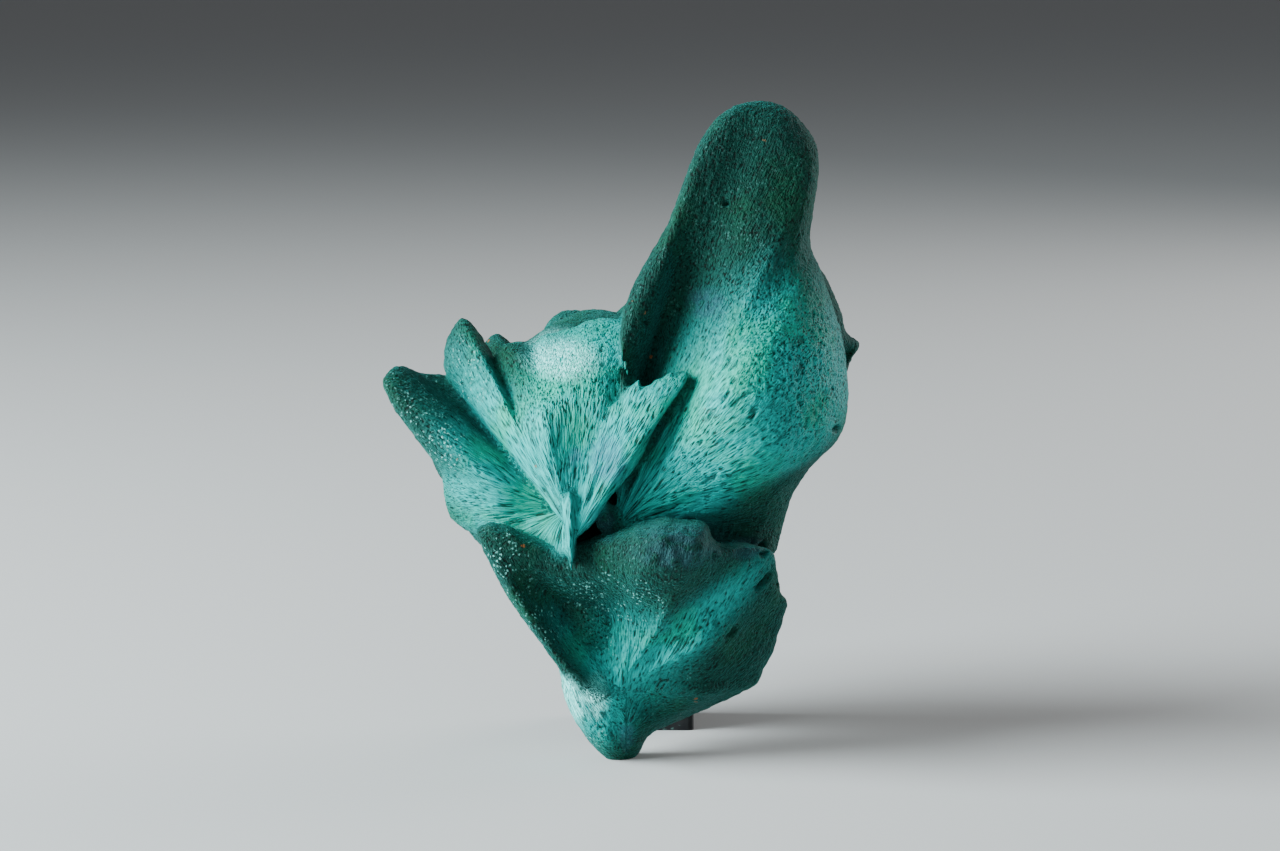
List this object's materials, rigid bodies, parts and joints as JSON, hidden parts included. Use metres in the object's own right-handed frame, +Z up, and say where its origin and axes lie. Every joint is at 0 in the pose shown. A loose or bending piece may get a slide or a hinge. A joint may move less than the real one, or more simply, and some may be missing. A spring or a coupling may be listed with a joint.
{
  "type": "velvet malachite mineral specimen",
  "caption": "Standing mineral specimen of overlapping silky fan-shaped petals with rounded velvety rims, on its pointed foot with a small black prop behind.",
  "frame": {"origin": "the pointed foot's contact point with the table, in the middle of its small worn flat", "axes": "+Z up along the specimen's longest extent, +X to the viewer's right, +Y away from the viewer towards the prop"},
  "size_m": [0.034, 0.0335, 0.0462],
  "materials": {
    "malachite": "silky fibrous fans with velvety matt rims",
    "black_rubber": "matt"
  },
  "bodies": {
    "root": {"velvet_malachite": "malachite", "rear_prop": "black_rubber"}
  },
  "joints": []
}
